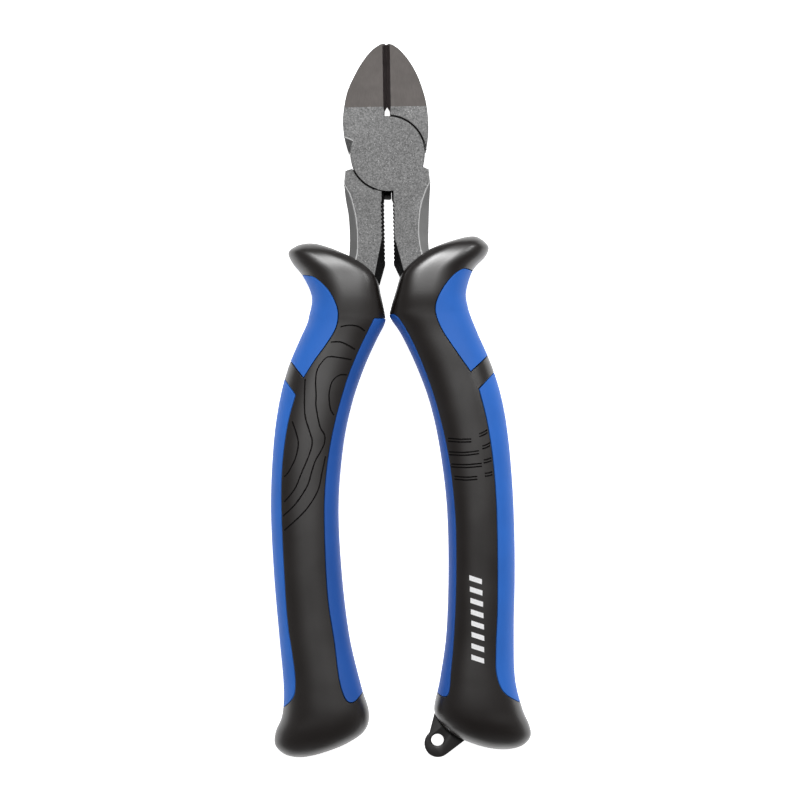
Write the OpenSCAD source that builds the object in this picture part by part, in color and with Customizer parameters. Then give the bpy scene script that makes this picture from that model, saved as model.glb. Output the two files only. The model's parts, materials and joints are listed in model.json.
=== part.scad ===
// Diagonal cutting pliers with crimping teeth and two-colour moulded grips.
// The tool lies flat: +Z is its thickness, +Y points to the blades, and the
// origin is the middle of its footprint on the surface that it lies on.

/* [Pivot] */
// Pivot axis, sideways from the middle of the tool's width
pivot_x = -1.4; // [-1.6:0.05:-1]
// Pivot axis, forward of the middle of the tool's length
pivot_y = 68.9; // [68:0.1:70]
// Radius of the two lap discs
disc_r = 10.4; // [10:0.1:10.5]
// Radial gap between a lap disc and the pocket that it turns in
pocket_gap = 0.3; // [0.2:0.05:0.4]
// Gap between the two lap faces
lap_gap = 0.1; // [0.06:0.02:0.2]
// Radius of the pivot stud
stud_r = 3.5; // [3:0.1:4]
// Radial running clearance of the stud in the back half
stud_play = 0.03; // [0.02:0.01:0.08]

/* [Head] */
// Thickness of the joint, the arms and the blade roots
head_t = 11; // [10:0.5:11.5]
// Thickness of the blades at their tips
tip_t = 4.8; // [4:0.2:6]
// Depth of the cutting edge below the front face
edge_depth = 1.3; // [1:0.1:1.6]
// Gap between the closed cutting edges
edge_gap = 0.1; // [0.06:0.02:0.2]
// Thickness of the web that closes the throat below the discs
web_t = 3; // [2:0.5:4]

/* [Crimping teeth] */
// Distance from tooth to tooth
tooth_pitch = 1.12; // [1:0.02:1.12]
// Height of a tooth
tooth_h = 0.35; // [0.2:0.05:0.5]
// Number of teeth on each arm
teeth = 15; // [8:1:15]

/* [Grips] */
// Thickness of the tangs inside the grips
tang_t = 7; // [5:0.5:8]
// Greatest thickness of the grips, at the guards and the butts
grip_t = 17; // [16.5:0.5:18]
// Thickness of the black body and the pads over the core
skin_t = 2; // [1.6:0.1:2.2]
// Clearance cut around the steel inside the grips
steel_fit = 0.05; // [0.02:0.01:0.1]

/* [Lanyard tab] */
// Thickness of the tab
tab_t = 2.6; // [2:0.2:4]
// Radius of the tab's round end
tab_r = 3.8; // [3.4:0.1:4]
// Radius of the lanyard hole
tab_hole_r = 1.75; // [1.5:0.05:2]

/* [Hidden] */

// All the plans below are measured from the pivot axis.
$fn = 96;
eps = 0.01;
tall = 40;                  // taller than any section of the tool
half_t = head_t / 2;
tip_y = 31;                 // blade tips
taper_y = 13;               // where the blades start to thin
edge_x = 0.1;               // the plane in which the cutting edges meet
front_bevel = 1.05;         // width of the V groove's bevel on each blade, in front
back_bevel = 3.2;           // and behind
land = 0.3;                 // width of the cutting edge itself
stud_top = half_t - 0.9;    // the stud's blind end, under the front face
stud_head_r = 5;
stud_head_t = 1.5;
stud_head_play = 0.15;
web_edge_x = 1;             // free edge of the web, clear of the other arm
web_end_y = -12.8;
throat_x = 1.5;             // half the gap between the arms, at the roots of the teeth
tooth_top_y = -13.2;        // first tooth below the joint
step_t = 1.4;               // depth of the step beside the teeth
tang_end_y = -140;
tab_hole = [11.1, -164];
tab_centre = [11.2, -165];

steel = "gray";
black = "#2a2728";
core_black = "#1d1a19";
blue = "#2f62b4";

// Grip sections from the guard down to the butt, on a grip 17 thick:
// [y, outer x, inner x, half thickness, squareness of the inner side]
left_sections = [
    [-24.5, -24.3, -20.6, 3.6, 2.6], [-25.3, -26.4, -17.9, 5.2, 3.2],
    [-27, -28.3, -13.7, 6.8, 4], [-30, -27.1, -8, 7.9, 4.6],
    [-34, -24.1, -3.9, 8.5, 4.6], [-39.5, -21.9, -2.2, 8.4, 3.8],
    [-46, -23.1, -1.7, 7.9, 3], [-52, -25.8, -4, 7.5, 2.6],
    [-60, -29.2, -7.8, 7.3, 2.6], [-70, -31.8, -11.3, 7.3, 2.6],
    [-82, -33.5, -13.9, 7.3, 2.6], [-98, -34.4, -15.4, 7.3, 2.6],
    [-116, -33.9, -14.9, 7.4, 2.6], [-134, -32.7, -13.1, 7.7, 2.6],
    [-148, -31.7, -10.1, 8.2, 2.6], [-156, -32.2, -7.9, 8.5, 2.6],
    [-161, -34.2, -9.2, 8.1, 2.6], [-164.5, -34.4, -14.2, 7, 2.6],
    [-166.8, -32.6, -20, 5.2, 2.4], [-168.1, -29, -26.5, 3, 2.2]];
right_sections = [
    [-23.3, 24.6, 22.4, 3.6, 2.6], [-24.3, 25.9, 18, 5.2, 3.2],
    [-26.5, 27.9, 11.4, 6.8, 4], [-29, 26.9, 7.8, 7.7, 4.6],
    [-33, 23.2, 3.6, 8.5, 4.6], [-39, 21.3, 1.4, 8.4, 3.8],
    [-45, 22.3, 0.1, 7.9, 3], [-50.5, 24.4, 3.1, 7.5, 2.6],
    [-60, 28.3, 7.3, 7.3, 2.6], [-70, 31, 10.7, 7.3, 2.6],
    [-82, 32.6, 13.1, 7.3, 2.6], [-98, 33.5, 14.8, 7.3, 2.6],
    [-116, 33.6, 15, 7.4, 2.6], [-134, 33, 14.1, 7.7, 2.6],
    [-147, 33.1, 12.1, 8.2, 2.6], [-155.5, 35, 10.3, 8.5, 2.6],
    [-160, 36.8, 12.6, 8.2, 2.6], [-163, 37.3, 16.3, 7.3, 2.6],
    [-165.3, 35.7, 21.5, 5.8, 2.4], [-166.9, 32.5, 28, 3.4, 2.2]];

// ---- curves ---------------------------------------------------------------

// Value at t = 0..1 between b and c of a smooth curve through a, b, c and d
function between(a, b, c, d, t) =
    b + 0.5 * t * (c - a + t * (2 * a - 5 * b + 4 * c - d + t * (3 * (b - c) + d - a)));

// Smooth open curve through the points p, with k steps from one to the next
function smooth(p, k = 4) = let (n = len(p) - 1) concat(
    [for (i = [0:n - 1], j = [0:k - 1])
        between(p[max(i - 1, 0)], p[i], p[i + 1], p[min(i + 2, n)], j / k)],
    [p[n]]);

function power(v, e) = sign(v) * pow(abs(v), e);

// Outline of one grip section drawn in by inset: an oval, squarer on its inner side
function section_points(s, inset, count) =
    let (middle = (s[1] + s[2]) / 2,
         half_w = abs(s[2] - s[1]) / 2 - inset,
         half_h = min(s[3], 8.5) * grip_t / 17 - inset,
         inward = sign(s[2] - s[1]))
    [for (i = [0:count - 1])
        let (a = 360 * i / count, n = cos(a) > 0 ? s[4] : 2.4)
        [middle + inward * half_w * power(cos(a), 2 / n), half_h * power(sin(a), 2 / n)]];

// ---- shared shapes --------------------------------------------------------

module at_pivot() {
    translate([pivot_x, pivot_y, grip_t / 2]) children();
}

// Upright block over a plan outline
module block(t = tall) {
    translate([0, 0, -t / 2]) linear_extrude(t) children();
}

// A grip's whole form, drawn in by inset
module grip_form(sections, inset, steps, count) {
    least = inset + 0.8;
    rows = [for (s = smooth(sections, steps))
        if (abs(s[2] - s[1]) > 2 * least && s[3] > least) s];
    for (i = [0:len(rows) - 2]) hull() {
        section_slice(rows[i], inset, count);
        section_slice(rows[i + 1], inset, count);
    }
}

module section_slice(s, inset, count) {
    translate([0, s[0], 0]) rotate([90, 0, 0])
        linear_extrude(eps) polygon(section_points(s, inset, count));
}

module outer_form(sections) {
    grip_form(sections, 0, 2, 28);
}

module inner_form(sections) {
    grip_form(sections, skin_t, 1, 20);
}

// ---- steel plans ----------------------------------------------------------

// The left-hand blade, with half of the small hole behind the cutting edges
module left_blade_plan() {
    back = smooth([[-10.9, 0.6], [-11.9, 4.2], [-12.3, 8.5], [-12, 12.4], [-11, 17.2],
                   [-9.3, 21.1], [-7, 25.2], [-4.2, 28.8], [-1.6, 30.7]]);
    edge = edge_x - edge_gap / 2;
    polygon(concat([[-5, 0.6]], back, [[edge_x - 0.5, tip_y], [edge, tip_y - 0.8],
        [edge, 12.9], [-0.6, 11.9], [-0.7, 10], [-5, 6]]));
}

module right_blade_plan() {
    back = smooth([[10.7, 0.6], [11.4, 4.6], [11.5, 8.8], [11.1, 13.4], [10.2, 17.4],
                   [8.6, 22], [6.4, 26], [4, 29], [1.9, 30.6]]);
    edge = edge_x + edge_gap / 2;
    polygon(concat([[5, 0.6]], back, [[edge_x + 0.7, tip_y - 0.1], [edge, tip_y - 0.8],
        [edge, 12.9], [0.8, 11.9], [0.9, 10], [5, 6]]));
}

// The left arm from its shoulder below the joint to the end of the tang
module left_arm_plan() {
    flank = smooth([[-12.3, -7.6], [-11.9, -12.4], [-11.1, -17.8], [-11, -26], [-12.2, -34],
                    [-15, -44], [-19.4, -56], [-23.6, -70], [-26.2, -84], [-27.4, -100],
                    [-27, -118], [-25.2, -132], [-24.2, tang_end_y]]);
    throat = smooth([[-19.9, tang_end_y], [-20.8, -132], [-22.2, -118], [-22.5, -100],
                     [-21.2, -84], [-18.2, -70], [-13.2, -56], [-7.4, -44], [-2.8, -36.2]]);
    polygon(concat([[-9.8, -4], [-11.9, -4.6]], flank, throat,
        [[-throat_x, -30.5], [-throat_x, -10], [-5, -5]]));
}

module right_arm_plan() {
    flank = smooth([[11.8, -8.6], [11.4, -14], [11.1, -20], [11, -26], [12, -34],
                    [14.6, -44], [19.2, -56], [23.2, -70], [25.6, -84], [27, -100],
                    [27.1, -118], [26.4, -132], [25.9, tang_end_y]]);
    throat = smooth([[21.4, tang_end_y], [21.6, -132], [22, -118], [21.6, -100],
                     [19.6, -84], [16.6, -70], [12.2, -56], [6.8, -44], [2.9, -34.5]]);
    polygon(concat([[9.8, -3.8], [11.5, -4.6]], flank, throat,
        [[throat_x, -30.5], [throat_x, -10], [5, -5]]));
}

// A row of small teeth on the edge at x, pointing to side dir
module teeth_plan(x, dir) {
    for (i = [0:teeth - 1]) translate([x, tooth_top_y - i * tooth_pitch])
        polygon([[-dir * 0.4, 0], [0, 0], [dir * tooth_h, -tooth_pitch / 2],
                 [0, -tooth_pitch], [-dir * 0.4, -tooth_pitch]]);
}

// The strip beside the teeth that lies deeper than the arm's two faces
module left_step_plan() {
    polygon([[0, -13], [-2.2, -13], [-2.25, -24], [-4.1, -33.6], [-4.1, -38], [0, -38]]);
}

module right_step_plan() {
    polygon([[0, -13], [1.6, -13], [1.7, -21.6], [3.9, -32.8], [4.4, -38], [0, -38]]);
}

// ---- steel solids ---------------------------------------------------------

// Everything between these two faces: full thickness at the joint and the arms,
// thinning to the blade tips and to the tangs
module side_profile() {
    tip = tip_t / 2;
    tang = tang_t / 2;
    rotate([90, 0, 90]) block(3 * tall)
        polygon([[tang_end_y - 1, -tang], [-40, -tang], [-36, -half_t], [taper_y, -half_t],
                 [tip_y + 1, -tip], [tip_y + 1, tip], [taper_y, half_t],
                 [-36, half_t], [-40, tang], [tang_end_y - 1, tang]]);
}

// What is ground away beside the cutting edges of the blade on side dir
module edge_grinding(dir) {
    slope = atan((half_t - tip_t / 2) / (tip_y + 1 - taper_y));
    translate([edge_x, taper_y, half_t]) rotate([-slope, 0, 0]) translate([0, -1.6, 0])
        rotate([-90, 0, 0]) linear_extrude(tall) {
            polygon([[-dir, edge_depth], [0, edge_depth], [dir * front_bevel, 0],
                     [dir * front_bevel, -half_t], [-dir, -half_t]]);
            polygon([[-dir, edge_depth + land], [0, edge_depth + land],
                     [dir * back_bevel, head_t], [dir * back_bevel, 2 * head_t], [-dir, 2 * head_t]]);
        }
}

// A disc-shaped pocket through one side of the lap: face 1 is the front, -1 the back
module lap_pocket(face) {
    mirror([0, 0, face > 0 ? 0 : 1]) translate([0, 0, -lap_gap / 2])
        cylinder(h = tall, r = disc_r + pocket_gap);
}

module lap_disc(face) {
    mirror([0, 0, face > 0 ? 0 : 1]) translate([0, 0, lap_gap / 2])
        cylinder(h = half_t - lap_gap / 2, r = disc_r);
}

// One forging with a lap disc on the given face. Its blade is on side +1 or -1 and
// its arm on the other. Children: the blade's plan, the arm's plan, the step's plan.
module forging(face, side) {
    intersection() {
        side_profile();
        difference() {
            union() {
                difference() {
                    block() children(0);
                    edge_grinding(side);
                }
                block() children(1);
                block() teeth_plan(-side * throat_x, side);
            }
            lap_pocket(-face);
            for (back = [0, 1]) mirror([0, 0, back]) translate([0, 0, half_t - step_t])
                linear_extrude(tall) children(2);
        }
    }
    lap_disc(face);
}

module back_half_solid() {
    difference() {
        union() {
            forging(-1, 1) {
                right_blade_plan();
                left_arm_plan();
                left_step_plan();
            }
            translate([-throat_x - 1, web_end_y, -lap_gap / 2 - web_t])
                cube([throat_x + 1 + web_edge_x, -web_end_y - 8, web_t]);
        }
        translate([0, 0, -tall / 2]) cylinder(h = tall, r = stud_r + stud_play);
        translate([0, 0, -half_t])
            cylinder(h = stud_head_t, r1 = stud_head_r + stud_head_play, r2 = stud_r + stud_head_play);
    }
}

module front_half_solid() {
    difference() {
        forging(1, -1) {
            left_blade_plan();
            right_arm_plan();
            right_step_plan();
        }
        translate([0, 0, stud_top - tall]) cylinder(h = tall, r = stud_r);
    }
}

// ---- grip plans -----------------------------------------------------------

// Each pad is what lies inside its plan; beyond the grip the plan only has to be wide
module left_upper_pad_plan() {
    edge = smooth([[-23.3, -33.6], [-20.7, -34.4], [-17.3, -37.6], [-15.3, -41.2], [-14.5, -44.6],
                   [-15.3, -48.6], [-18, -52.9], [-21.4, -57.4], [-24.5, -62.1]], 3);
    polygon(concat(edge, [[-27.8, -57.8], [-36, -52], [-36, -33]]));
}

module left_lower_pad_plan() {
    edge = smooth([[-26.8, -66.8], [-28.9, -73.8], [-30.4, -82], [-31.2, -90.5], [-31.3, -101],
                   [-30.9, -116], [-30.2, -129.7], [-29, -139], [-28.3, -145.5], [-28.8, -150.5],
                   [-31.7, -153.9]], 3);
    polygon(concat(edge, [[-38, -155], [-38, -53], [-29.8, -62.5]]));
}

module left_inner_pad_plan() {
    edge = smooth([[-4.4, -45.9], [-6.6, -50.1], [-9.8, -56.7], [-12.5, -63.4], [-15.7, -74],
                   [-18, -85], [-19.2, -97], [-19.2, -112], [-18.6, -124.4], [-17.1, -135.6],
                   [-15.9, -146.2], [-14.2, -151.6], [-12.1, -152.5], [-9.8, -150.5]], 3);
    polygon(concat(edge, [[-5, -148], [4, -120], [4, -45.3]]));
}

module right_upper_pad_plan() {
    edge = smooth([[22.8, -32.9], [20.5, -32.6], [17.7, -34.3], [14.9, -37.6], [12.9, -41.4],
                   [12.6, -44.8], [14.1, -49], [16.8, -53.4], [22.1, -61.2]], 3);
    polygon(concat(edge, [[27, -56.8], [36, -50], [36, -36]]));
}

module right_lower_pad_plan() {
    edge = smooth([[24.3, -66], [26.4, -75], [27.9, -86], [28.6, -98], [28.7, -112],
                   [28.4, -127], [27.8, -138], [27.8, -145.2], [29.6, -150.2], [33.5, -153.2]], 3);
    polygon(concat(edge, [[38, -154], [38, -54], [28.9, -61.3]]));
}

module right_inner_pad_plan() {
    edge = smooth([[1, -44.9], [2.9, -46.9], [6.5, -53.7], [10.4, -63.8], [13.4, -74.5],
                   [15.6, -86], [16.8, -98], [17.1, -108], [16.8, -122], [16, -135],
                   [15, -144.5], [14.5, -149.6], [13.6, -151.4], [12, -151.2]], 3);
    polygon(concat([[-3, -44.5]], edge, [[2, -148], [-3, -100]]));
}

// ---- grip solids ----------------------------------------------------------

// The room that the tang and the arm take up inside the grip
module steel_room() {
    tang = tang_t + 2 * steel_fit;
    block(tang) offset(delta = steel_fit) children();
    intersection() {
        block(head_t + 2 * steel_fit) offset(delta = steel_fit) children();
        translate([-tall, -40, -tall / 2]) cube([2 * tall, tall, tall]);
    }
}

// The layer over the core, between the drawn-in form and the outside
module skin(sections) {
    difference() {
        outer_form(sections);
        inner_form(sections);
    }
}

module pad(sections) {
    intersection() {
        skin(sections);
        block() children();
    }
}

// Black body. Children: the pads' plans, then the arm's plan.
module body(sections) {
    difference() {
        skin(sections);
        block() children(0);
        block() children(1);
        block() children(2);
        steel_room() children(3);
    }
}

module core(sections) {
    difference() {
        inner_form(sections);
        steel_room() children();
    }
}

// Tab outline: a round end and a tongue that runs up into the core
module tab_plan(grow = 0) {
    offset(delta = grow) union() {
        translate(tab_centre) circle(tab_r);
        polygon([[10.3, -156.8], [7.55, -164], [11.2, -165], [13.2, -168.3], [19, -164],
                 [24, -158], [22, -152], [14, -152]]);
    }
}

module tab_room() {
    block(tab_t + 2 * eps) tab_plan(eps);
}

// ---- nodes ----------------------------------------------------------------

module back_half() color(steel) at_pivot() back_half_solid();

module front_half() color(steel) at_pivot() front_half_solid();

module pivot_stud() color("darkgray") at_pivot() translate([0, 0, -half_t]) {
    cylinder(h = stud_head_t, r1 = stud_head_r, r2 = stud_r);
    cylinder(h = half_t + stud_top, r = stud_r);
}

module left_core() color(core_black) at_pivot() core(left_sections) left_arm_plan();

module left_body() color(black) at_pivot() body(left_sections) {
    left_upper_pad_plan();
    left_lower_pad_plan();
    left_inner_pad_plan();
    left_arm_plan();
}

module left_upper_pad() color(blue) at_pivot() pad(left_sections) left_upper_pad_plan();

module left_lower_pad() color(blue) at_pivot() pad(left_sections) left_lower_pad_plan();

module left_inner_pad() color(blue) at_pivot() pad(left_sections) left_inner_pad_plan();

module right_core() color(core_black) at_pivot() difference() {
    core(right_sections) right_arm_plan();
    tab_room();
}

module right_body() color(black) at_pivot() difference() {
    body(right_sections) {
        right_upper_pad_plan();
        right_lower_pad_plan();
        right_inner_pad_plan();
        right_arm_plan();
    }
    tab_room();
}

module right_upper_pad() color(blue) at_pivot() pad(right_sections) right_upper_pad_plan();

module right_lower_pad() color(blue) at_pivot() pad(right_sections) right_lower_pad_plan();

module right_inner_pad() color(blue) at_pivot() pad(right_sections) right_inner_pad_plan();

module lanyard_tab() color(core_black) at_pivot() difference() {
    block(tab_t) tab_plan();
    translate(concat(tab_hole, [-tall / 2])) cylinder(h = tall, r = tab_hole_r);
}

back_half();
front_half();
pivot_stud();
left_core();
left_body();
left_upper_pad();
left_lower_pad();
left_inner_pad();
right_core();
right_body();
right_upper_pad();
right_lower_pad();
right_inner_pad();
lanyard_tab();
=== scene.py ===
"""Diagonal cutting pliers: ground and blasted steel, two-colour moulded grips, on a pale stage."""
import json
import math

import bmesh
import bpy
import numpy as np
from bpy.props import FloatProperty, FloatVectorProperty, IntProperty, PointerProperty
from mathutils import Matrix, Vector

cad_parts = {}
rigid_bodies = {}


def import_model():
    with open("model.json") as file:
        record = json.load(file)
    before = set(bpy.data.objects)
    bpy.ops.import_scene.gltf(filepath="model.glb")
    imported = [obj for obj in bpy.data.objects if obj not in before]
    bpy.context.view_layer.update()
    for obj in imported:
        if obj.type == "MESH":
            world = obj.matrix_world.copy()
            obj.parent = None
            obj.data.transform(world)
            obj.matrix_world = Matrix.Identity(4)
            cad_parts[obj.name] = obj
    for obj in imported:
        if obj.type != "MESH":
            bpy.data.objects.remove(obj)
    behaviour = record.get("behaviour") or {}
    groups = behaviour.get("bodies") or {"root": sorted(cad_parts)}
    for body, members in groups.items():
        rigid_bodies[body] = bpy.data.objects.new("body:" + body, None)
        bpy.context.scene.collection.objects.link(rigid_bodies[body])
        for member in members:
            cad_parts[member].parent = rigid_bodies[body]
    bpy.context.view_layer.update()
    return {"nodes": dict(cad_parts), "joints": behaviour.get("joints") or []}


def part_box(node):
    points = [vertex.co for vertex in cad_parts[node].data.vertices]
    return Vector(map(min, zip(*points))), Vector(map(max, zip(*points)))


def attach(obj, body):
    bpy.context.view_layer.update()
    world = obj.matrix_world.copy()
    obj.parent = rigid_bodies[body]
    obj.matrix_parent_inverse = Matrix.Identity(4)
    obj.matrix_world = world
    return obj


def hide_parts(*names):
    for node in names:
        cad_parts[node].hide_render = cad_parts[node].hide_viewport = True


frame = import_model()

bl_info = {
    "name": "Diagonal cutting pliers",
    "version": (1, 0, 0),
    "blender": (4, 5, 0),
    "location": "3D View > Sidebar > Pliers",
    "description": "Steel halves, moulded grips and stage for a pair of diagonal cutting pliers",
    "category": "Object",
}

# Every piece is drawn in millimetres around the pivot axis, with +Y to the blades and
# z = 0 on the lap plane, and bring_home() then puts it in its place in metres.
MM = 0.001
PIVOT = Vector(frame["joints"][0]["pos_m"])
BACK_BODY = frame["joints"][0]["parent"]
FRONT_BODY = frame["joints"][0]["child"]


def size_of(node, axis):
    """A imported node's extent along an axis, in millimetres."""
    low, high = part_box(node)
    return round((high[axis] - low[axis]) / MM, 3)


def linear(code):
    """An sRGB hex colour as linear red, green and blue."""
    values = [int(code[i:i + 2], 16) / 255 for i in (1, 3, 5)]
    return tuple(v / 12.92 if v <= 0.04045 else ((v + 0.055) / 1.055) ** 2.4 for v in values)


# ---- what a user would change ------------------------------------------------------------


class SteelSizes(bpy.types.PropertyGroup):
    """Sizes of the two forgings, in millimetres."""

    head: FloatProperty(name="Head thickness", description="Thickness of the joint and the arms",
                        default=size_of("back_half", 2), min=8, max=12)
    tip: FloatProperty(name="Tip thickness", description="Thickness of the blades at their tips",
                       default=4.8, min=4, max=6)
    disc: FloatProperty(name="Disc radius", description="Radius of the two lap discs",
                        default=10.4, min=10, max=10.5)
    pocket: FloatProperty(name="Pocket radius", description="Radius that a lap disc turns in",
                          default=10.7, min=10.6, max=10.9)
    rim: FloatProperty(name="Rim", description="Width of the broken outer edges",
                       default=0.25, min=0.1, max=0.6)
    tooth: FloatProperty(name="Tooth pitch", description="Distance from tooth to tooth",
                         default=1.12, min=1, max=1.12)
    teeth: IntProperty(name="Teeth", description="Number of crimping teeth on each arm",
                       default=15, min=8, max=15)


class GripSizes(bpy.types.PropertyGroup):
    """Sizes of the moulded layers, in millimetres."""

    skin: FloatProperty(name="Skin", description="Thickness of the black body and the blue pads",
                        default=1.5, min=1, max=2)
    gap: FloatProperty(name="Parting line", description="Width of the line round each pad",
                       default=0.2, min=0.1, max=0.5)
    edge: FloatProperty(name="Soft edge", description="Rounding along the parting lines",
                        default=0.16, min=0.05, max=0.4)
    groove: FloatProperty(name="Groove", description="Radius of the engraved lines",
                          default=0.25, min=0.1, max=0.3)
    step: FloatProperty(name="Mesh step", description="Distance between mesh lines on the grips",
                        default=0.8, min=0.5, max=2)


class Finishes(bpy.types.PropertyGroup):
    """Colours of the finishes."""

    blasted: FloatVectorProperty(name="Blasted steel", description="Grit-blasted forging",
                                 subtype="COLOR", default=linear("#747474"))
    ground: FloatVectorProperty(name="Ground steel", description="Surface-ground blades",
                                subtype="COLOR", default=linear("#625E5C"))
    black: FloatVectorProperty(name="Black body", description="Satin black moulding",
                               subtype="COLOR", default=linear("#15100E"))
    blue: FloatVectorProperty(name="Blue pads", description="Soft blue moulding",
                              subtype="COLOR", default=linear("#2262BA"))


# ---- hand tools --------------------------------------------------------------------------


def deselect():
    """Leaves edit mode and deselects everything."""
    if bpy.context.mode != "OBJECT":
        bpy.ops.object.mode_set(mode="OBJECT")
    bpy.ops.object.select_all(action="DESELECT")


def take(piece):
    """Makes a piece the only one that is selected, and the active one."""
    deselect()
    piece.select_set(True)
    bpy.context.view_layer.objects.active = piece
    return piece


def pick(piece, kind, test):
    """Opens a piece in edit mode with only the faces or edges selected that pass a test."""
    take(piece)
    bpy.ops.object.mode_set(mode="EDIT")
    bpy.ops.mesh.select_mode(type="FACE" if kind == "faces" else "EDGE")
    bpy.ops.mesh.select_all(action="DESELECT")
    drawing = bmesh.from_edit_mesh(piece.data)
    drawing.normal_update()
    found = 0
    for element in getattr(drawing, kind):
        if test(element):
            element.select_set(True)
            found += 1
    bmesh.update_edit_mesh(piece.data)
    return found


def close_edit():
    bpy.ops.object.mode_set(mode="OBJECT")


def face_out(piece):
    """Merges doubles and turns every face outwards."""
    pick(piece, "faces", lambda face: True)
    bpy.ops.mesh.remove_doubles(threshold=1e-4)
    bpy.ops.mesh.normals_make_consistent(inside=False)
    if bmesh.from_edit_mesh(piece.data).calc_volume(signed=True) < 0:
        bpy.ops.mesh.flip_normals()
    close_edit()


def plate(name, outline, low, high):
    """A flat plate over a plan outline, from z = low up to z = high."""
    deselect()
    bpy.ops.mesh.primitive_circle_add(vertices=len(outline), radius=1, fill_type="NGON")
    piece = bpy.context.object
    piece.name = name
    for vertex, (x, y) in zip(piece.data.vertices, outline):
        vertex.co = (x, y, high)
    pick(piece, "faces", lambda face: True)
    bpy.ops.mesh.extrude_region_move(TRANSFORM_OT_translate={"value": (0, 0, low - high)})
    close_edit()
    face_out(piece)
    return piece


def round_bar(name, radius, low, high, sides=192):
    """An upright cylinder between two exact heights."""
    deselect()
    bpy.ops.mesh.primitive_cylinder_add(vertices=sides, radius=radius, depth=abs(high - low),
                                        location=(0, 0, (low + high) / 2))
    piece = bpy.context.object
    piece.name = name
    bpy.ops.object.transform_apply(location=True, rotation=True, scale=True)
    for vertex in piece.data.vertices:
        vertex.co.z = min((low, high), key=lambda level: abs(level - vertex.co.z))
    return piece


def combine(piece, tool, operation):
    """Joins, cuts or trims a piece with a tool, and throws the tool away."""
    take(piece)
    change = piece.modifiers.new("combine", "BOOLEAN")
    change.operation = operation
    change.solver = "EXACT"
    change.object = tool
    if tool.data.materials:
        change.material_mode = "TRANSFER"
    bpy.ops.object.modifier_apply(modifier=change.name)
    bpy.data.objects.remove(tool)
    return piece


def join(pieces):
    """Makes one piece of several that don't touch."""
    deselect()
    for piece in pieces:
        piece.select_set(True)
    bpy.context.view_layer.objects.active = pieces[0]
    bpy.ops.object.join()
    bpy.ops.object.transform_apply(location=True, rotation=True, scale=True)
    return bpy.context.object


def slice_off(piece, points, lost):
    """Cuts a piece along the plane through three points and throws away the side of a fourth."""
    a, b, c = (Vector(p) for p in points)
    normal = (b - a).cross(c - a).normalized()
    if normal.dot(Vector(lost) - a) < 0:
        normal.negate()
    pick(piece, "faces", lambda face: True)
    bpy.ops.mesh.bisect(plane_co=a, plane_no=normal, use_fill=True, clear_outer=True,
                        threshold=1e-5)
    close_edit()


def break_edges(piece, width, test, segments=2, finish=-1):
    """Rounds the sharp edges that pass a test, and may give them a finish of their own."""
    def wanted(edge):
        return len(edge.link_faces) == 2 and edge.calc_face_angle(0) > 0.45 and test(edge)
    if pick(piece, "edges", wanted):
        bpy.ops.mesh.bevel(offset=width, segments=segments, affect="EDGES",
                           clamp_overlap=finish < 0 and segments < 3, material=finish)
    close_edit()


def middle(element):
    """The middle of a face or an edge."""
    return sum((v.co for v in element.verts), Vector()) / len(element.verts)


def shade(piece, angle=35):
    take(piece)
    bpy.ops.object.shade_smooth_by_angle(angle=math.radians(angle))


def bring_home(piece):
    """Takes a piece drawn in millimetres to its place on the tool, in metres."""
    take(piece)
    piece.scale = (MM, MM, MM)
    piece.location = PIVOT
    bpy.ops.object.transform_apply(location=True, rotation=True, scale=True)


# ---- curves ------------------------------------------------------------------------------


def smooth(points, steps=8, before=None, after=None):
    """A smooth open curve through points, with so many steps from one to the next."""
    points = [np.array(p, float) for p in points]
    chain = [points[0] if before is None else np.array(before, float)] + points
    chain.append(points[-1] if after is None else np.array(after, float))
    curve = []
    for a, b, c, d in zip(chain, chain[1:], chain[2:], chain[3:]):
        for t in np.arange(steps) / steps:
            curve.append(b + 0.5 * t * (c - a + t * (2 * a - 5 * b + 4 * c - d
                                                     + t * (3 * (b - c) + d - a))))
    curve.append(points[-1])
    return np.array(curve)


def evenly(curve, spacing):
    """The same open curve, with points at even distances and both ends kept."""
    lengths = np.append(0, np.cumsum(np.linalg.norm(np.diff(curve, axis=0), axis=1)))
    count = max(2, int(round(lengths[-1] / spacing)) + 1)
    at = np.linspace(0, lengths[-1], count)
    return np.stack([np.interp(at, lengths, column) for column in curve.T], axis=1)


def sideways(curve, distance):
    """An open curve moved to its left by a distance."""
    run = np.gradient(curve, axis=0)
    run /= np.maximum(np.linalg.norm(run, axis=1, keepdims=True), 1e-9)
    return curve + distance * np.stack([-run[:, 1], run[:, 0]], axis=1)


# ---- grip forms --------------------------------------------------------------------------

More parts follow.
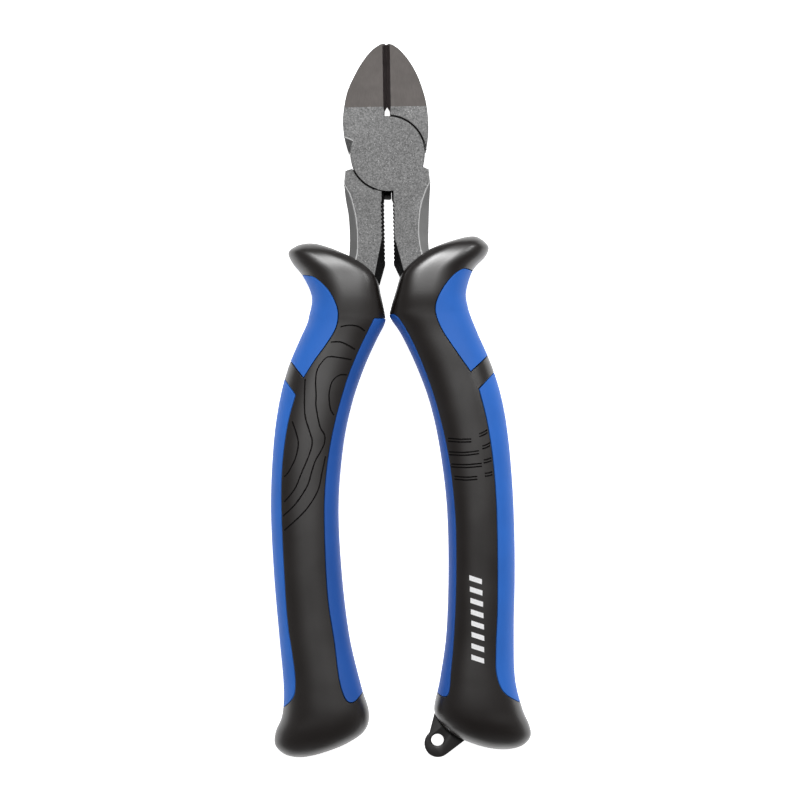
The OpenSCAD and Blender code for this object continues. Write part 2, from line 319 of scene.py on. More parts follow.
# Sections from the guard down to the butt, in millimetres from the pivot:
# y, outer x, inner x, half thickness, squareness of the inner side. The first and the
# last are the points in which the form closes.
LEFT_SECTIONS = [
    (-24.4, -22.4, -22.4, 0, 2.4), (-24.6, -24.4, -20.4, 3.3, 2.6),
    (-25.3, -26.4, -17.9, 5.7, 3.2), (-27, -28.3, -13.7, 7.4, 4),
    (-30, -27.1, -8, 8.2, 5), (-34, -24.1, -3.9, 8.4, 5),
    (-39.5, -21.9, -2.5, 8.4, 3.8), (-44.8, -22.8, -1.5, 8, 3), (-47.2, -23.5, -1.6, 7.8, 2.8),
    (-52, -25.8, -4.1, 7.5, 2.6), (-60, -29.2, -7.8, 7.3, 2.6),
    (-70, -31.8, -11.3, 7.3, 2.6), (-82, -33.5, -13.9, 7.3, 2.6),
    (-98, -34.4, -15.4, 7.3, 2.6), (-116, -33.9, -14.9, 7.4, 2.6),
    (-134, -32.7, -13.1, 7.7, 2.6), (-148, -31.7, -10.1, 8.2, 2.6),
    (-156, -32.2, -7.9, 8.45, 2.6), (-161, -34.2, -9.2, 8.1, 2.6),
    (-164.5, -34.4, -14.2, 7, 2.6), (-166.8, -32.4, -20.2, 5.2, 2.4),
    (-167.8, -30.2, -24.2, 2.9, 2.4), (-168.2, -27.4, -27.4, 0, 2.4)]
RIGHT_SECTIONS = [
    (-23.2, 23.2, 23.2, 0, 2.4), (-23.4, 24.6, 21.4, 3.3, 2.6),
    (-24, 25.7, 18.9, 5.4, 3.2), (-25, 26.9, 15.6, 6.8, 3.8),
    (-26.6, 27.9, 11.6, 7.6, 4.4), (-29.1, 26.8, 7.6, 8.15, 5),
    (-33, 23.2, 3.6, 8.4, 5), (-39, 21.3, 1.4, 8.4, 3.8),
    (-43.2, 21.8, 0.1, 8, 3.2), (-45.6, 22.5, -0.1, 7.8, 3), (-50.5, 24.4, 3.0, 7.5, 2.6),
    (-60, 28.3, 7.3, 7.3, 2.6), (-70, 31, 10.7, 7.3, 2.6),
    (-82, 32.6, 13.1, 7.3, 2.6), (-98, 33.5, 14.8, 7.3, 2.6),
    (-116, 33.6, 15, 7.4, 2.6), (-134, 33, 14.1, 7.7, 2.6),
    (-147, 33.1, 12.1, 8.2, 2.6), (-155.5, 35, 10.3, 8.45, 2.6),
    (-160, 36.8, 12.6, 8.2, 2.6), (-163, 37.3, 16.3, 7.3, 2.6),
    (-165.3, 35.8, 21.3, 5.6, 2.4), (-166.5, 33.4, 25.6, 3.2, 2.4),
    (-167, 29.8, 29.8, 0, 2.4)]


class GripForm:
    """The outer surface of one grip, and a flat sheet that wraps round it.

    On the sheet u runs round the grip from its outer side (or, for an inner piece, back from
    its inner side) and v runs down it, both in millimetres of real surface, so that a piece
    is drawn and bevelled flat and keeps its widths when wrap() lays it on the form.
    """

    def __init__(self, sections, rows_per_section=40, columns=361):
        first, last = (np.array(sections[i], float) for i in (0, -1))
        beyond = []
        for pole, inside in ((first, sections[1]), (last, sections[-2])):
            y, outer, inner, half, square = inside
            beyond.append((y, inner, outer, -half, square))
        rows = smooth(sections, rows_per_section, before=beyond[0], after=beyond[1])
        self.y = np.minimum.accumulate(rows[:, 0] - 1e-9 * np.arange(len(rows)))
        outer, inner, half, square = rows[:, 1:].T
        half = np.maximum(half, 0)
        angle = np.linspace(0, math.pi, 1441)
        share = np.linspace(0, 1, columns)
        self.x = np.empty((len(rows), columns))
        self.z = np.empty((len(rows), columns))
        self.reach = np.empty(len(rows))
        for i in range(len(rows)):
            power = np.where(np.cos(angle) > 0, 2 / 2.4, 2 / square[i])
            across = np.sign(np.cos(angle)) * np.abs(np.cos(angle)) ** power
            x = (outer[i] + inner[i]) / 2 + (outer[i] - inner[i]) / 2 * across
            z = half[i] * np.abs(np.sin(angle)) ** power
            z[-1] = 0
            length = np.append(0, np.cumsum(np.hypot(np.diff(x), np.diff(z))))
            self.reach[i] = length[-1]
            at = share * length[-1]
            self.x[i] = np.interp(at, length, x) if length[-1] > 0 else x[0]
            self.z[i] = np.interp(at, length, z) if length[-1] > 0 else 0
        growth = np.hypot(np.diff(inner - outer) / 2, np.diff(half))
        self.v = np.append(0, np.cumsum(np.hypot(np.diff(self.y), growth)))
        self.normal = self._normals(rows)

    def _normals(self, rows):
        """Unit normals of the surface, pointing out."""
        place = np.stack([self.x, np.repeat(self.y[:, None], self.x.shape[1], 1), self.z], axis=2)
        down = np.gradient(place, axis=0)
        around = np.gradient(place, axis=1)
        normal = np.cross(around, down)
        out = place - place.mean(axis=1, keepdims=True)
        flip = np.sign((normal * out).sum(axis=(1, 2)))
        normal *= np.where(flip == 0, 1, flip)[:, None, None]
        length = np.linalg.norm(normal, axis=2, keepdims=True)
        normal = normal / np.maximum(length, 1e-12)
        normal[0] = (0, 1, 0)
        normal[-1] = (0, -1, 0)
        normal[:, 0, 2] = 0
        normal[:, -1, 2] = 0
        return normal

    def row_at(self, v):
        return np.interp(v, self.v, np.arange(len(self.v)))

    def half_width(self, v):
        """How far u runs from the outer side to the inner side."""
        return np.interp(v, self.v, self.reach)

    def flat(self, points):
        """Plan points on the front of the grip as points u, v of the sheet."""
        sheet = []
        for x, y in points:
            row = np.interp(-y, -self.y, np.arange(len(self.y)))
            low = min(int(row), len(self.y) - 2)
            line = self.x[low] + (self.x[low + 1] - self.x[low]) * (row - low)
            turn = 1 if line[-1] > line[0] else -1
            share = np.interp(x * turn, line * turn, np.linspace(0, 1, len(line)))
            v = np.interp(row, np.arange(len(self.v)), self.v)
            sheet.append((share * self.half_width(v), v))
        return np.array(sheet)

    def wrap(self, sheet, from_inner=False):
        """Points u, v, height of the sheet as places on the grip, with its normals there."""
        u, v, height = sheet.T
        half = np.maximum(self.half_width(v), 1e-6)
        share = np.clip(np.abs(u) / half, 0, 1)
        if from_inner:
            share = 1 - share
        row = np.clip(self.row_at(v), 0, len(self.v) - 1)
        column = share * (self.x.shape[1] - 1)
        r = np.minimum(row.astype(int), len(self.v) - 2)
        c = np.minimum(column.astype(int), self.x.shape[1] - 2)
        fr, fc = row - r, column - c

        def read(table):
            weights = ((1 - fr) * (1 - fc), (1 - fr) * fc, fr * (1 - fc), fr * fc)
            corners = (table[r, c], table[r, c + 1], table[r + 1, c], table[r + 1, c + 1])
            return sum(w * k for w, k in zip(weights, corners))

        back = np.where(u < 0, -1, 1)
        place = np.stack([read(self.x), np.interp(row, np.arange(len(self.y)), self.y),
                          read(self.z) * back], axis=1)
        normal = np.stack([read(self.normal[:, :, i]) for i in range(3)], axis=1)
        normal[:, 2] *= back
        return place + normal * height[:, None], normal


LEFT_FORM = GripForm(LEFT_SECTIONS)
RIGHT_FORM = GripForm(RIGHT_SECTIONS)


# ---- grip layers -------------------------------------------------------------------------

# Front edges of the pads, seen from the front, each as smooth runs that meet in corners.
# A run's end may lie beyond the grip, where it stands for the grip's side.
PAD_RUNS = {
    "left_upper_pad": [
        [(-26.5, -33.2), (-23.3, -33.6), (-20.7, -34.4), (-17.3, -37.6), (-15.3, -41.2),
         (-14.5, -44.6), (-15.3, -48.6), (-18, -52.9), (-21.4, -57.4), (-24.5, -62.1)],
        [(-24.5, -62.1), (-27.8, -57.8), (-30, -55)]],
    "left_lower_pad": [
        [(-32, -59.6), (-29.8, -62.5), (-26.8, -66.8)],
        [(-26.8, -66.8), (-28.9, -73.8), (-30.4, -82), (-31.2, -90.5), (-31.3, -101),
         (-30.9, -116), (-30.2, -129.7), (-29, -139), (-28.3, -145.5), (-28.8, -150.5),
         (-31.7, -153.9), (-34, -155.4)]],
    "left_inner_pad": [
        [(-1, -45.8), (-4.4, -45.9)],
        [(-4.4, -45.9), (-6.6, -50.1), (-9.8, -56.7), (-12.5, -63.4), (-15.7, -74),
         (-18, -85), (-19.2, -97), (-19.2, -112), (-18.6, -124.4), (-17.1, -135.6),
         (-15.9, -146.2), (-14.2, -151.6), (-12.1, -152.5), (-9.8, -150.5), (-8.4, -149)]],
    "right_upper_pad": [
        [(25.5, -33.9), (22.8, -32.9), (20.5, -32.6), (17.7, -34.3), (14.9, -37.6),
         (12.9, -41.4), (12.6, -44.8), (14.1, -49), (16.8, -53.4), (22.1, -61.2)],
        [(22.1, -61.2), (27, -56.8), (29.5, -54.5)]],
    "right_lower_pad": [
        [(30.5, -59.6), (28.9, -61.3), (24.3, -66)],
        [(24.3, -66), (26.4, -75), (27.9, -86), (28.6, -98), (28.7, -112), (28.4, -127),
         (27.8, -138), (27.8, -145.2), (29.6, -150.2), (33.5, -153.2), (36, -154.4)]],
    "right_inner_pad": [
        [(-1, -44.7), (1, -44.9), (2.9, -46.9), (6.5, -53.7), (10.4, -63.8), (13.4, -74.5),
         (15.6, -86), (16.8, -98), (17.1, -108), (16.8, -122), (16, -135), (15, -144.5),
         (14.5, -149.6), (13.6, -151.4), (12, -151.2), (10.4, -150)]],
}

# Engraved lines on the fronts of the grips
LEFT_WAVES = [
    [(-13.9, -48.1), (-11.5, -47.7), (-9, -48.1), (-7.2, -49.4)],
    [(-16.7, -52.3), (-14.1, -52.3), (-12, -53.2), (-10, -54.5)],
    [(-11, -57.3), (-14.6, -56.6), (-17.6, -56.4), (-19.4, -58), (-20.6, -60), (-21.1, -63.1),
     (-21, -67.3), (-21.1, -70.1), (-20.1, -75.7), (-18.9, -77.9), (-18.9, -80.1),
     (-19.8, -82.3), (-21.5, -85.1), (-22.6, -88.2), (-23.9, -92.1), (-27.1, -96.9),
     (-30.9, -100.5)],
    [(-12.4, -61.5), (-14.4, -61.5), (-16.4, -63.1), (-17.3, -65.9), (-17.4, -68.1),
     (-17.1, -70.9), (-16.2, -72.6)],
    [(-24, -62.4), (-24.3, -68.6), (-24.1, -73.1), (-23, -77), (-22.3, -80.1), (-23.3, -83.7),
     (-25.3, -88.2), (-27.4, -92.9), (-30.4, -96.5)],
    [(-27.8, -74.1), (-26.7, -77.5), (-26.2, -80.3), (-27, -84.2), (-29, -88.1),
     (-30.3, -89.5)],
    [(-18.7, -84), (-19.8, -88.7), (-21.1, -93.7), (-24.6, -99), (-30.5, -104.4)],
]
RIGHT_GROOVES = [
    [(15.4, -79.6), (18.6, -79.9), (21.9, -79.9)], [(24.1, -78.5), (25.4, -78), (26.4, -77.4)],
    [(15.7, -83.4), (20, -83.6), (24, -83.2)], [(24.9, -81.9), (26, -81.6), (27.1, -81)],
    [(16.2, -86.8), (20.5, -87), (24.7, -86.7)], [(25.2, -85.8), (26.4, -85.6), (27.4, -85.2)],
    [(17, -90.2), (20.2, -90.5), (23.4, -90.3)], [(25.5, -89.5), (26.6, -89.4), (27.6, -89.1)],
]
GROOVE_PAIR = 0.8


def seam(form, v_from, v_to, inner, spacing):
    """Points along the grip's outer or inner side, from one v to another."""
    v = np.linspace(v_from, v_to, 4000)
    u = form.half_width(v) if inner else np.zeros_like(v)
    return evenly(np.stack([u, v], axis=1), spacing)


def pad_rim(form, runs, shift, inner):
    """A pad's front edge on the sheet, from side to side, moved out of the pad by shift."""
    rims = []
    for run in runs:
        line = smooth(run, 12) if len(run) > 2 else np.linspace(*np.array(run, float), 12)
        rims.append(evenly(form.flat(line), 0.6))
    rim = np.concatenate([rims[0]] + [r[1:] for r in rims[1:]])
    side = form.half_width(rim[:, 1]) if inner else 0 * rim[:, 1]
    clear = np.flatnonzero(np.abs(rim[:, 0] - side) > 0.15)
    rim = rim[clear[0] - 1:clear[-1] + 2]
    rim = sideways(rim, shift if inner else -shift)
    for end in (0, -1):
        rim[end, 0] = form.half_width(rim[end, 1]) if inner else 0
    return rim


def without_doubles(loop):
    """A closed loop of points without neighbours that nearly touch."""
    kept = [loop[0]]
    for point in loop[1:]:
        if np.hypot(*(point - kept[-1])) > 0.03:
            kept.append(point)
    if np.hypot(*(kept[0] - kept[-1])) <= 0.03:
        kept.pop()
    return kept


def pad_outline(form, runs, gap, inner):
    rim = pad_rim(form, runs, -gap / 2, inner)
    return without_doubles(list(rim) + list(seam(form, rim[-1][1], rim[0][1], inner, 0.8)))


def body_outline(form, outer_pads, inner_pad, gap):
    loop, at = [], 0
    for runs in outer_pads:
        rim = pad_rim(form, runs, gap / 2, False)
        loop += list(seam(form, at, rim[0][1], False, 0.8)) + list(rim)
        at = rim[-1][1]
    loop += list(seam(form, at, form.v[-1], False, 0.8))
    rim = pad_rim(form, inner_pad, gap / 2, True)
    loop += list(seam(form, form.v[-1], rim[-1][1], True, 0.8)) + list(rim[::-1])
    loop += list(seam(form, rim[0][1], 0, True, 0.8))
    return without_doubles(loop)


def groove_tool(line, radius, level=0.0):
    """A round bar along a line of the sheet, to cut a groove with."""
    track = bpy.data.curves.new("groove", "CURVE")
    track.dimensions = "3D"
    track.bevel_depth = radius
    track.bevel_resolution = 2
    track.use_fill_caps = True
    spline = track.splines.new("POLY")
    spline.points.add(len(line) - 1)
    for point, (u, v) in zip(spline.points, line):
        point.co = (u, -v, level, 1)
    tool = bpy.data.objects.new("groove", track)
    bpy.context.collection.objects.link(tool)
    take(tool)
    bpy.ops.object.convert(target="MESH")
    tool = bpy.context.object
    face_out(tool)
    return tool


def rule_lines(piece, step):
    """Lays an even mesh over a flat sheet, so that it can bend both ways."""
    corners = np.array([v.co for v in piece.data.vertices])
    low, high = corners.min(axis=0), corners.max(axis=0)
    pick(piece, "faces", lambda face: True)
    for axis, normal in ((0, (1, 0, 0)), (1, (0, 1, 0))):
        for at in np.arange(low[axis] + step / 2, high[axis], step):
            place = Vector((0, 0, 0))
            place[axis] = at
            bpy.ops.mesh.select_all(action="SELECT")
            bpy.ops.mesh.bisect(plane_co=place, plane_no=normal, threshold=0.02)
    close_edit()


def on_seam(form, point):
    u, v = point[0], -point[1]
    return u < 0.02 or u > form.half_width(v) - 0.04


def wrap_sheet(piece, form):
    """Lays a flat sheet on its grip, and keeps the grip's own normals for the open surface."""
    flat = np.array([v.co for v in piece.data.vertices])
    sheet = np.stack([flat[:, 0], -flat[:, 1], flat[:, 2]], axis=1)
    place, normal = form.wrap(sheet)
    half = form.half_width(sheet[:, 1])
    edge = (sheet[:, 0] < 0.02) | (sheet[:, 0] > half - 0.06)
    place[edge, 2] = 0
    for vertex, co in zip(piece.data.vertices, place):
        vertex.co = co
    normal[sheet[:, 2] < -1e-3] = 0
    kept = piece.data.attributes.new("open_normal", "FLOAT_VECTOR", "POINT")
    kept.data.foreach_set("vector", normal.astype(np.float32).ravel())
    piece.data.update()


def skin(name, form, outline, sizes, finish, grooves=(), groove_floor_shade=None):
    """One moulded layer: cut flat, engraved, laid on the grip and mirrored to the back."""
    sheet = plate(name, [(u, -v) for u, v in outline], -sizes.skin, 0)
    sheet.data.materials.append(finish)

    def rim(edge):
        a, b = edge.verts
        if min(a.co.z, b.co.z) < -1e-4:
            return False
        return not (on_seam(form, a.co) and on_seam(form, b.co))
    break_edges(sheet, sizes.edge, rim)
    rule_lines(sheet, sizes.step)
    if grooves:
        tool = join([groove_tool(line, sizes.groove, -0.5 * sizes.groove) for line in grooves])
        # the groove walls and bottoms take the darker groove colour: painted shade
        tool.data.materials.append(groove_floor_shade)
        combine(sheet, tool, "DIFFERENCE")
    wrap_sheet(sheet, form)
    pick(sheet, "faces", lambda face: all(abs(v.co.z) < 1e-5 for v in face.verts))
    bpy.ops.mesh.delete(type="FACE")
    close_edit()
    mirror = sheet.modifiers.new("back", "MIRROR")
    mirror.use_axis = (False, False, True)
    mirror.use_clip = True
    mirror.merge_threshold = 1e-3
    take(sheet)
    bpy.ops.object.modifier_apply(modifier=mirror.name)
    face_out(sheet)
    return sheet


def keep_open_normals(piece):
    """Gives the open surface the form's exact normals, so that it shades without ripples."""
    shade(piece, 55)
    mesh = piece.data
    kept = mesh.attributes["open_normal"]
    normal = np.empty(len(mesh.vertices) * 3, np.float32)
    kept.data.foreach_get("vector", normal)
    normal = normal.reshape(-1, 3)
    below = np.array([v.co.z < 0 for v in mesh.vertices])
    normal[below, 2] = -np.abs(normal[below, 2])
    length = np.linalg.norm(normal, axis=1, keepdims=True)
    normal = np.where(length > 0.5, normal / np.maximum(length, 1e-6), 0)
    mesh.normals_split_custom_set_from_vertices([tuple(n) for n in normal])
    mesh.attributes.remove(mesh.attributes["open_normal"])


# ---- steel -------------------------------------------------------------------------------

LEFT_BACK = [(-10.9, 0.6), (-11.9, 4.2), (-12.3, 8.5), (-12, 12.4), (-11, 17.2),
             (-9.3, 21.1), (-7, 25.2), (-4.2, 28.8), (-1.6, 30.7)]
RIGHT_BACK = [(10.7, 0.6), (11.4, 4.6), (11.5, 8.8), (11.1, 13.4), (10.2, 17.4),
              (8.6, 22), (6.4, 26), (4, 29), (1.9, 30.6)]
LEFT_BLADE = ([(-5, 0.6)], LEFT_BACK,
              [(-0.4, 31), (0.1, 30.6), (0.1, 12.9), (-0.6, 11.9), (-0.7, 10), (-5, 6)])
RIGHT_BLADE = ([(5, 0.6)], RIGHT_BACK,
               [(0.8, 30.9), (0.1, 30.6), (0.1, 12.9), (0.8, 11.9), (0.9, 10), (5, 6)])
LEFT_FLANK = [(-12.3, -7.6), (-11.9, -12.4), (-11.1, -17.8), (-11, -26), (-12.2, -34),
              (-15, -44), (-19.4, -56), (-23.6, -70), (-26.2, -84), (-27.4, -100),
              (-27, -118), (-25.2, -132), (-24.2, -140)]
LEFT_THROAT = [(-19.9, -140), (-20.8, -132), (-22.2, -118), (-22.5, -100), (-21.2, -84),
               (-18.2, -70), (-13.2, -56), (-7.4, -44), (-2.8, -36.2)]
RIGHT_FLANK = [(11.8, -8.6), (11.4, -14), (11.1, -20), (11, -26), (12, -34), (14.6, -44),
               (19.2, -56), (23.2, -70), (25.6, -84), (27, -100), (27.1, -118),
               (26.4, -132), (25.9, -140)]
RIGHT_THROAT = [(21.4, -140), (21.6, -132), (22, -118), (21.6, -100), (19.6, -84),
                (16.6, -70), (12.2, -56), (6.8, -44), (2.9, -34.5)]
LEFT_FACET = [(-12.6, -8), (-11.9, -9.1), (-10.6, -11.6), (-9.4, -16.4), (-8.9, -20.8),
              (-8.9, -26.5), (-9.4, -29.3), (-10.6, -34)]
RIGHT_FACET = [(12.2, -7.6), (11.4, -8.7), (10.3, -11), (9.1, -14.6), (8.5, -19),
               (8.4, -23.2), (9.1, -27.9), (10.6, -33)]
TANG_HALF = 3.5
# slot of the light grey steel on rims and facet lines: painted highlight
PAINTED_HIGHLIGHT_SLOT = 5
FLANK_DROP = 2.6
LAP = 0.05
TAPER_Y = 13
TIP_Y = 32
EDGE_X = 0.1
EDGE_DEPTH = 1.3
EDGE_LAND = 0.3
FRONT_BEVEL = 1.05
BACK_BEVEL = 3.2
THROAT_X = 1.5
TOOTH_TOP = -13.2
TOOTH_X = 1.18
LEAN = {-1: 0.72, 1: 0.3}


def ribbon(name, near, far, up):
    """A solid strip between two lines in space, carried up by a distance."""
    deselect()
    bpy.ops.mesh.primitive_grid_add(x_subdivisions=len(near) - 1, y_subdivisions=1, size=1)
    piece = bpy.context.object
    piece.name = name
    order = sorted(piece.data.vertices, key=lambda v: (round(v.co.y, 4), v.co.x))
    for vertex, co in zip(order, list(near) + list(far)):
        vertex.co = co
    pick(piece, "faces", lambda face: True)
    bpy.ops.mesh.extrude_region_move(TRANSFORM_OT_translate={"value": (0, 0, up)})
    close_edit()
    face_out(piece)
    return piece


def blade(side, outline, half, tip):
    """One blade: cut out, thinned to its tip, and ground on both sides of its edge."""
    start, back, rest = outline
    tall = half + 0.3
    piece = plate("blade", start + [tuple(p) for p in smooth(back, 6)] + rest, -tall, tall)
    slope = (half - tip) / (TIP_Y - TAPER_Y)
    low = half - slope * (TIP_Y - TAPER_Y)
    for face in (1, -1):
        slice_off(piece, [(0, TAPER_Y, face * half), (10, TAPER_Y, face * half),
                          (0, TIP_Y, face * low)], (0, TIP_Y, face * half))
    slice_off(piece, [(EDGE_X, TAPER_Y, half - EDGE_DEPTH), (EDGE_X, TIP_Y, low - EDGE_DEPTH),
                      (EDGE_X + side * FRONT_BEVEL, TAPER_Y, half)], (EDGE_X, TIP_Y, half))
    land = EDGE_DEPTH + EDGE_LAND
    slice_off(piece, [(EDGE_X, TAPER_Y, half - land), (EDGE_X, TIP_Y, low - land),
                      (EDGE_X + side * BACK_BEVEL, TAPER_Y, -half)], (EDGE_X, TIP_Y, -half))
    return piece


def arm(side, flank, throat, shoulder, corner, facet, half):
    """One arm with its tang, its slanted throat and its ground flank."""
    outline = shoulder + [tuple(p) for p in smooth(flank, 4)]
    outline += [tuple(p) for p in smooth(throat, 4)]
    outline += [(side * TOOTH_X, -30.8)] + corner + [(side * 5, -5)]
    tall = half + 0.4
    piece = plate("arm", outline, -tall, tall)
    lines = [side * (TOOTH_X + LEAN[side]), side * TOOTH_X]
    for face in (1, -1):
        slice_off(piece, [(lines[0], -20, face * half), (lines[0], -10, face * half),
                          (lines[1], -20, face * 3)], (0, -20, face * half))
        slice_off(piece, [(lines[0], -23, face * half), (side * 4.1, -33.4, face * half),
                          (lines[1], -33.4, face * 0.8)], (0, -28, face * half))
        near = smooth([(x, y, face * half) for x, y in facet], 6)
        out = Vector((side * 5, 0, -face * FLANK_DROP))
        far = [Vector(p) + out for p in near]
        near = [Vector(p) for p in near]
        combine(piece, ribbon("flank", near, far, face * 8), "DIFFERENCE")
    for levels in ((TANG_HALF, 9), (-9, -TANG_HALF)):
        relief = plate("relief", [(-45, -38.6), (45, -38.6), (45, -145), (-45, -145)], *levels)
        combine(piece, relief, "DIFFERENCE")
    return piece


def notch_row(side, half, pitch, count):
    """Cutters for the gaps between the teeth: one is drawn, and the others are copies."""
    mouth, root = side * TOOTH_X, side * THROAT_X
    reach = pitch / 2 - 0.07
    notch = plate("notch", [(root, 0), (mouth, reach), (mouth - side * 0.6, reach),
                            (mouth - side * 0.6, -reach), (mouth, -reach)], -3, 3)
    for face in (1, -1):
        pick(notch, "faces", lambda f: f.normal.z * face > 0.9)
        bpy.ops.mesh.extrude_region_move(
            TRANSFORM_OT_translate={"value": (side * LEAN[side] * 1.2, 0, face * 3)})
        close_edit()
    row = []
    for i in range(count):
        take(notch)
        bpy.ops.object.duplicate()
        copy = bpy.context.object
        copy.location.y = TOOTH_TOP - (i + 0.5) * pitch
        row.append(copy)
    bpy.data.objects.remove(notch)
    return join(row)


def forging(name, side, face, sizes, finishes):
    """One half: its blade is on the side given, its lap disc on the face given.

    The parts are joined while each still stands a little taller than the last, and the
    whole is then planed to its thickness, so that no two faces lie in one plane before.
    """
    half, tip = sizes.head / 2, sizes.tip / 2
    piece = blade(side, RIGHT_BLADE if side > 0 else LEFT_BLADE, half, tip)
    if side < 0:
        slice_off(piece, [(-11.7, 4.6, half), (-9.9, 3.8, half), (-10.9, 0.7, half - 1.6)],
                  (-11.5, 0.8, half))
    if side > 0:
        limb = arm(-1, LEFT_FLANK, LEFT_THROAT, [(-9.8, -4), (-11.9, -4.6)],
                   [(-TOOTH_X, -10)], LEFT_FACET, half)
    else:
        limb = arm(1, RIGHT_FLANK, RIGHT_THROAT, [(9.8, -3.8), (11.5, -4.6)],
                   [(TOOTH_X, -13), (0.95, -12.7), (0.95, -10)], RIGHT_FACET, half)
    combine(piece, limb, "UNION")
    combine(piece, round_bar("disc", sizes.disc, -half - 0.5, half + 0.5), "UNION")
    combine(piece, notch_row(-side, half, sizes.tooth, sizes.teeth), "DIFFERENCE")
    combine(piece, round_bar("pocket", sizes.pocket, *sorted((LAP * face, -face * 9))),
            "DIFFERENCE")
    for level in (half, -half):
        slice_off(piece, [(0, 0, level), (1, 0, level), (0, 1, level)], (0, 0, 3 * level))
    take(piece)
    pick(piece, "faces", lambda f: True)
    bpy.ops.mesh.remove_doubles(threshold=0.02)
    close_edit()

    for material in finishes:
        piece.data.materials.append(material)

    def rim(edge):
        spot = middle(edge)
        flat = [f for f in edge.link_faces if abs(f.normal.z) > 0.97]
        wall = [f for f in edge.link_faces if abs(f.normal.z) < 0.25]
        return (flat and wall and abs(spot.z) > tip * 0.9 and spot.y > -38
                and not (abs(spot.x) < 5 and -39 < spot.y < -9.9))

    def painted_highlight_rim(edge):
        return (rim(edge) and middle(edge).y < -3
                and middle(edge).xy.length > sizes.pocket + 0.1)

    def facet(edge):
        """The line where the flank's facet, or the heel's, meets the flat."""
        flat = [f for f in edge.link_faces if abs(f.normal.z) > 0.97]
        slant = [f for f in edge.link_faces if 0.5 < abs(f.normal.z) < 0.95]
        return flat and slant and abs(middle(edge).x) > 7 and abs(middle(edge).z) > half - 0.1

    break_edges(piece, sizes.rim, lambda edge: rim(edge) and not painted_highlight_rim(edge), 3)
    # lower rims and facet lines get a light grey steel: painted highlight along the edges
    break_edges(piece, sizes.rim * 0.8, lambda edge: painted_highlight_rim(edge) or facet(edge), 2, PAINTED_HIGHLIGHT_SLOT)
    return piece


# ---- finishes ----------------------------------------------------------------------------


def add(tree, kind, inputs, **settings):
    """Adds a node, sets it up, and sets or links its inputs."""
    node = tree.nodes.new(kind)
    for name, value in settings.items():
        setattr(node, name, value)
    for name, value in inputs.items():
        if isinstance(value, bpy.types.NodeSocket):
            tree.links.new(value, node.inputs[name])
        else:
            node.inputs[name].default_value = value
    return node


def finish(name):
    """A new material with its shader, its place coordinates and its output."""
    material = bpy.data.materials.new(name)
    material.use_nodes = True
    tree = material.node_tree
    tree.nodes.clear()
    shader = add(tree, "ShaderNodeBsdfPrincipled", {})
    add(tree, "ShaderNodeOutputMaterial", {"Surface": shader.outputs[0]})
    place = add(tree, "ShaderNodeTexCoord", {}).outputs["Object"]
    return material, tree, shader, place


def per_metre(grain_mm):
    """A texture's scale for a grain of so many millimetres."""
    return 1 / (grain_mm * MM)


def tinted(tree, grain, colour, low, high):
    """A colour that a pattern darkens and lightens between two shares of itself."""
    share = add(tree, "ShaderNodeMapRange", {"Value": grain, "From Min": 0.3, "From Max": 0.7,
                                             "To Min": low, "To Max": high})
    return add(tree, "ShaderNodeVectorMath", {0: colour[:3], "Scale": share.outputs[0]},
               operation="SCALE").outputs[0]


def blasted_steel(colour):
    """Forged chrome-vanadium steel, grit-blasted: a matt grey with a fine grain of pits, and painted
    glints as bright specks.
    """
    material, tree, shader, place = finish("grit_blasted_forged_steel")
    # the grit leaves pits near 0.1 mm: drawn at 0.3 mm, so that they show
    grain = add(tree, "ShaderNodeTexNoise", {"Vector": place, "Scale": per_metre(0.42),
                                             "Detail": 3, "Roughness": 0.7}).outputs[0]
    patch = add(tree, "ShaderNodeTexNoise", {"Vector": place, "Scale": per_metre(9),
                                             "Detail": 2}).outputs[0]
    base = tinted(tree, grain, colour, 0.64, 1.32)
    broad = add(tree, "ShaderNodeMapRange", {"Value": patch, "From Min": 0.3, "From Max": 0.7,
                                             "To Min": 0.94, "To Max": 1.06}).outputs[0]
    base = add(tree, "ShaderNodeVectorMath", {0: base, "Scale": broad}, operation="SCALE")
    # painted glints: lighter specks mixed into the colour where lone facets would throw the light back
    glint_cells = add(tree, "ShaderNodeTexVoronoi", {"Vector": place, "Scale": per_metre(0.9)})
    bright = add(tree, "ShaderNodeMapRange", {"Value": glint_cells.outputs["Distance"],
                                              "From Min": 0.16, "From Max": 0.05,
                                              "To Min": 0, "To Max": 0.65}).outputs[0]
    mixed = add(tree, "ShaderNodeMix", {0: bright, "A": (0, 0, 0, 1), "B": (0, 0, 0, 1)},
                data_type="RGBA")
    mixed.inputs[7].default_value = (0.62, 0.62, 0.62, 1)
    tree.links.new(base.outputs[0], mixed.inputs[6])
    tree.links.new(mixed.outputs[2], shader.inputs["Base Color"])
    shader.inputs["Metallic"].default_value = 1
    rough = add(tree, "ShaderNodeMapRange", {"Value": grain, "From Min": 0.3, "From Max": 0.7,
                                             "To Min": 0.72, "To Max": 0.6}).outputs[0]
    tree.links.new(rough, shader.inputs["Roughness"])
    bump = add(tree, "ShaderNodeBump", {"Height": grain, "Strength": 0.55, "Distance": 0.04 * MM})
    tree.links.new(bump.outputs[0], shader.inputs["Normal"])
    return material


